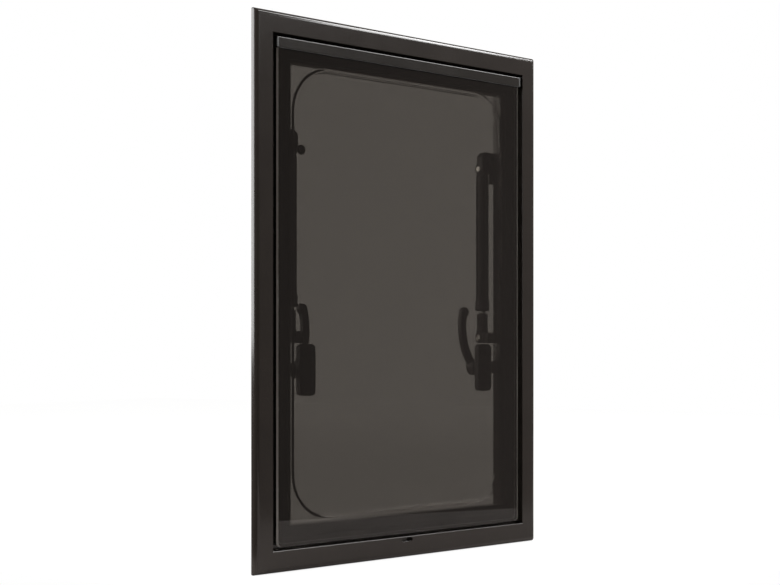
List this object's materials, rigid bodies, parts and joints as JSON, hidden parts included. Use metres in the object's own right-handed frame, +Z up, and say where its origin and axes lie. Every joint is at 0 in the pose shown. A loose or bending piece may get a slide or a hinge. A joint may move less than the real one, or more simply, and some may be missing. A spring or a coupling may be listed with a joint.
{
  "type": "top-hung caravan window",
  "caption": "Tinted double acrylic caravan window, top hinged in a moulded flanged frame, closed by turning latch levers and held by telescopic stays.",
  "frame": {"origin": "on the flat back of the flange, in the middle of the bottom edge's overlap on the wall", "axes": "+X right as seen from outdoors, +Y into the room, +Z up"},
  "size_m": [0.38, 0.0384, 0.53],
  "materials": {
    "frame_foam": "satin",
    "seal_rubber": "matte",
    "outer_acrylic": "polished, grey tint",
    "inner_acrylic": "polished, grey tint",
    "hinge_profile": "satin black",
    "fitting_plastic": "fine texture",
    "lever_plastic": "fine texture",
    "button_plastic": "smooth",
    "pin_steel": "zinc plated",
    "tube_aluminium": "black anodised",
    "rod_aluminium": "drawn"
  },
  "bodies": {
    "window": {"frame": "frame_foam", "seal": "seal_rubber", "outer_pane": "outer_acrylic", "inner_pane": "inner_acrylic", "breather_plug": "fitting_plastic", "hinge_rail_frame": "hinge_profile", "hinge_rail_sash": "hinge_profile", "hinge_cap_left": "fitting_plastic", "latch_base_left": "fitting_plastic", "latch_pin_left": "pin_steel", "latch_button_left": "button_plastic", "latch_strike_left": "fitting_plastic", "stay_bracket_left": "fitting_plastic", "stay_head_left": "fitting_plastic", "stay_tube_left": "tube_aluminium", "stay_collar_left": "fitting_plastic", "stay_rod_left": "rod_aluminium", "stay_end_left": "fitting_plastic", "stay_foot_left": "fitting_plastic", "stay_top_pin_left": "pin_steel", "stay_foot_pin_left": "pin_steel", "hinge_cap_right": "fitting_plastic", "latch_base_right": "fitting_plastic", "latch_pin_right": "pin_steel", "latch_button_right": "button_plastic", "latch_strike_right": "fitting_plastic", "stay_bracket_right": "fitting_plastic", "stay_head_right": "fitting_plastic", "stay_tube_right": "tube_aluminium", "stay_collar_right": "fitting_plastic", "stay_rod_right": "rod_aluminium", "stay_end_right": "fitting_plastic", "stay_foot_right": "fitting_plastic", "stay_top_pin_right": "pin_steel", "stay_foot_pin_right": "pin_steel"},
    "lever_left": {"latch_lever_left": "lever_plastic"},
    "lever_right": {"latch_lever_right": "lever_plastic"}
  },
  "joints": [
    {"name": "left_lever_turn", "type": "hinge", "parent": "window", "child": "lever_left", "pos_m": [-0.1205, 0.02, 0.1835], "axis": [0, 1, 0], "range_deg": [0, 90]},
    {"name": "right_lever_turn", "type": "hinge", "parent": "window", "child": "lever_right", "pos_m": [0.1205, 0.02, 0.1835], "axis": [0, -1, 0], "range_deg": [0, 90]}
  ]
}
